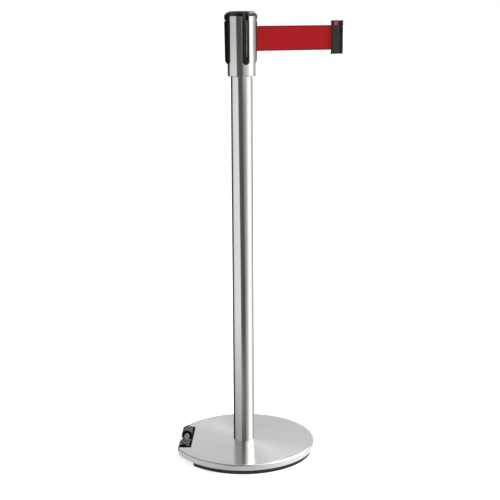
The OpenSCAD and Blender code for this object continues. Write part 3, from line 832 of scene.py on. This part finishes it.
lock_leaf()
sewn = list(tail())
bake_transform(web)
for o in [web, nodes["belt_lead"]] + sewn:
    o.visible_glossy = False

# ---------------------------------------------------------------- floor and light


def floor():
    def made(name, r0, r1, seg=128):
        bm = bmesh.new()
        a = [bm.verts.new((r0 * math.cos(2 * math.pi * i / seg), r0 * math.sin(2 * math.pi * i / seg), 0)) for i in range(seg)] if r0 else None
        b = [bm.verts.new((r1 * math.cos(2 * math.pi * i / seg), r1 * math.sin(2 * math.pi * i / seg), 0)) for i in range(seg)]
        if a:
            for i in range(seg):
                j = (i + 1) % seg
                bm.faces.new((a[i], b[i], b[j], a[j]))
        else:
            bm.faces.new(b)
        me = bpy.data.meshes.new(name)
        bm.to_mesh(me)
        bm.free()
        o = link(bpy.data.objects.new(name, me))
        return o

    m = bpy.data.materials.new("floor")
    m.use_nodes = True
    g = Nodes(m.node_tree)
    out = g.new("ShaderNodeOutputMaterial")
    d = g.new("ShaderNodeBsdfDiffuse")
    d.inputs[0].default_value = (0.8, 0.8, 0.8, 1)
    e = g.new("ShaderNodeEmission")
    e.inputs[0].default_value = (1, 1, 1, 1)
    e.inputs[1].default_value = 0.58
    s = g.new("ShaderNodeAddShader")
    g.t.links.new(d.outputs[0], s.inputs[0])
    g.t.links.new(e.outputs[0], s.inputs[1])
    g.t.links.new(s.outputs[0], out.inputs[0])
    ground = made("floor_ground", 0, 60)
    ground.data.materials.append(m)
    ground.visible_glossy = False

    # what the skirt of the base mirrors: the shaded floor close to it, brighter on the right
    m = bpy.data.materials.new("floor_mirrored")
    m.use_nodes = True
    g = Nodes(m.node_tree)
    out = g.new("ShaderNodeOutputMaterial")
    e = g.new("ShaderNodeEmission")
    co = g.new("ShaderNodeTexCoord").outputs["Object"]
    n = g.new("ShaderNodeVectorMath", operation="DOT_PRODUCT")
    g.put(n.inputs[0], co)
    n.inputs[1].default_value = (right0.x, right0.y, 0)
    g.put(e.inputs[0], g.ramp(g.span(n.outputs["Value"], -0.2, 0.2, smooth=False), [
        (0.0, (0.60, 0.60, 0.62)), (0.3, (0.52, 0.515, 0.56)), (0.62, (0.62, 0.615, 0.66)),
        (0.78, (0.80, 0.80, 0.81)), (0.9, (1.0, 1.0, 1.0)), (1.0, (1.0, 1.0, 1.0))]))
    e.inputs[1].default_value = 1.12
    # only for what stands close above it, so the tall parts don't mirror it
    hide = g.new("ShaderNodeBsdfTransparent")
    mix = g.new("ShaderNodeMixShader")
    g.put(mix.inputs[0], g.math("LESS_THAN", g.new("ShaderNodeLightPath").outputs["Ray Length"], 0.115))
    g.t.links.new(hide.outputs[0], mix.inputs[1])
    g.t.links.new(e.outputs[0], mix.inputs[2])
    g.t.links.new(mix.outputs[0], out.inputs[0])
    card = made("floor_mirrored", 0.146, 0.26)
    card.location.z = 0.0002
    card.data.materials.append(m)
    card.visible_camera = card.visible_diffuse = card.visible_shadow = card.visible_transmission = False


floor()


def world():
    w = bpy.data.worlds.new("studio")
    bpy.context.scene.world = w
    w.use_nodes = True
    g = Nodes(w.node_tree)
    out = g.new("ShaderNodeOutputWorld")
    bg = g.new("ShaderNodeBackground")
    g.t.links.new(bg.outputs[0], out.inputs[0])
    d = g.new("ShaderNodeTexCoord").outputs["Generated"]
    s = g.xyz(d)

    def dot(v):
        n = g.new("ShaderNodeVectorMath", operation="DOT_PRODUCT")
        g.put(n.inputs[0], d)
        n.inputs[1].default_value = v
        return n.outputs["Value"]

    a = dot((right0.x, right0.y, 0))
    b = dot((-math.sin(YAW), -math.cos(YAW), 0))
    ang = g.math("MULTIPLY", g.math("ARCTAN2", a, b), 180 / math.pi)   # -180..180, 0 to the camera, + to the right
    dz = s[2]

    def at(deg):
        return (deg + 180) / 360

    pos = g.math("DIVIDE", g.math("ADD", ang, 180.0), 360.0)
    c = lambda v, warm=0.0: (v, v * (1 - 0.01 * warm), v * (1 - 0.075 * warm))
    ring = g.ramp(pos, [
        (at(-180), c(0.55)), (at(-166), c(0.30)), (at(-158), c(0.06)), (at(-122), c(0.06)), (at(-112), c(0.55)),
        (at(-104), c(0.84)), (at(-60), c(0.90)), (at(-30), c(0.90)), (at(0), c(0.30)), (at(10), c(0.24, 1)),
        (at(28), c(0.30, 1)), (at(38), c(0.42, 1)), (at(50), c(0.66, 1)), (at(62), c(1.10, 1)), (at(70), c(1.32, 0.7)),
        (at(86), c(1.34, 0.7)), (at(96), c(1.34, 0.8)), (at(105), c(1.18, 0.8)), (at(113), c(0.80, 0.8)),
        (at(126), c(0.50, 0.8)),
        (at(136), c(0.36, 0.6)), (at(146), c(0.40, 0.3)), (at(158), c(0.75)), (at(172), c(0.75)), (at(180), c(0.55))])
    # a black flag stands in front, and leans across with distance
    mid = g.span(g.math("ABSOLUTE", dz), 0.0, 0.24, -22.0, 0.0, smooth=False)
    off = g.math("ABSOLUTE", g.math("SUBTRACT", ang, mid))
    flag = g.span(off, 20.0, 25.5, 1.0, 0.0)
    flag = g.math("MULTIPLY", flag, g.math("MAXIMUM", g.span(dz, -0.325, -0.275, 0.40, 0.96),
                                           g.span(dz, -0.368, -0.338, 0.85, 0.0)))
    flag = g.math("MULTIPLY", flag, g.span(dz, 0.05, 0.2, 1.0, 0.85))
    ring = g.mix(flag, ring, (0.085, 0.085, 0.078))
    # the left side falls off towards the floor
    low = g.math("MULTIPLY", g.span(ang, -20.0, 5.0, 1.0, 0.0),
                 g.math("MAXIMUM", g.span(dz, -0.375, -0.27, 0.58, 0.0, smooth=False), g.span(dz, 0.10, 0.25, 0.0, 0.34)))
    ring = g.mix(low, ring, (0, 0, 0))
    # and is duller at the height of the head
    left = g.math("MULTIPLY", g.span(ang, -30.0, 5.0, 1.0, 0.0), g.span(dz, -0.07, -0.02, 0.0, 0.30))
    ring = g.mix(left, ring, (0, 0, 0))
    lift = g.math("MULTIPLY", g.math("MULTIPLY", g.span(ang, 30.0, 60.0), g.span(ang, 100.0, 130.0, 1.0, 0.0)), g.span(dz, 0.05, 0.2))
    ring = g.mix(lift, ring, (1.85, 1.83, 1.76))
    # at the height of the head the part just right of the camera is brighter
    near = g.math("MULTIPLY", g.math("MULTIPLY", g.span(ang, 12.0, 22.0), g.span(ang, 44.0, 60.0, 1.0, 0.0)),
                  g.span(dz, -0.08, -0.03, 0.0, 0.32))
    ring = g.mix(near, ring, (1.5, 1.49, 1.44))
    # above, an even grey dome, which comes lower behind the post
    dome = g.math("MAXIMUM", g.math("MULTIPLY", g.span(dz, 0.06, 0.22), g.span(g.math("ABSOLUTE", ang), 105.0, 140.0)),
                  g.span(dz, 0.55, 0.75))
    front = g.span(g.math("ABSOLUTE", ang), 115.0, 150.0, 1.0, 0.0)
    steep = g.math("MULTIPLY", front, g.math("MULTIPLY", g.span(dz, 0.45, 0.6), g.span(dz, 0.9, 0.98, 1.0, 0.0)))
    sky = g.mix(steep, (0.70, 0.70, 0.69), g.mix(g.span(ang, 0.0, 30.0), (0.10, 0.10, 0.10), (1.5, 1.5, 1.46)))
    allround = g.mix(dome, ring, sky)
    path = g.new("ShaderNodeLightPath")
    final = g.mix(path.outputs["Is Camera Ray"], allround, (1.0, 1.0, 1.0))
    g.put(bg.inputs[0], final)
    bg.inputs[1].default_value = 1.0


world()


def area(name, at_, to, size, power, size_y=None):
    d = bpy.data.lights.new(name, "AREA")
    d.shape = "RECTANGLE"
    d.size, d.size_y = size, size_y or size
    d.energy = power
    o = link(bpy.data.objects.new(name, d))
    o.location = at_
    o.rotation_mode = "QUATERNION"
    o.rotation_quaternion = (Vector(to) - Vector(at_)).to_track_quat("-Z", "Y")
    return o


def spot_from(deg, elev, dist, target=(0, 0, 0.3)):
    """A place seen from the target at an angle from the camera's side (+ to the right) and a height angle."""
    a, e = math.radians(deg), math.radians(elev)
    flat = right0 * math.sin(a) + Vector((-math.sin(YAW), -math.cos(YAW), 0)) * math.cos(a)
    return Vector(target) + flat * dist * math.cos(e) + Vector((0, 0, dist * math.sin(e)))


key = area("softbox_right", spot_from(114, 46, 2.6, (0, 0, 0.0)), (0, 0, 0.0), 2.0, 62, 2.0)
fill = area("softbox_front", spot_from(-25, 35, 3.2, (0, 0, 0.6)), (0, 0, 0.6), 1.6, 26, 1.6)
fill.visible_glossy = False
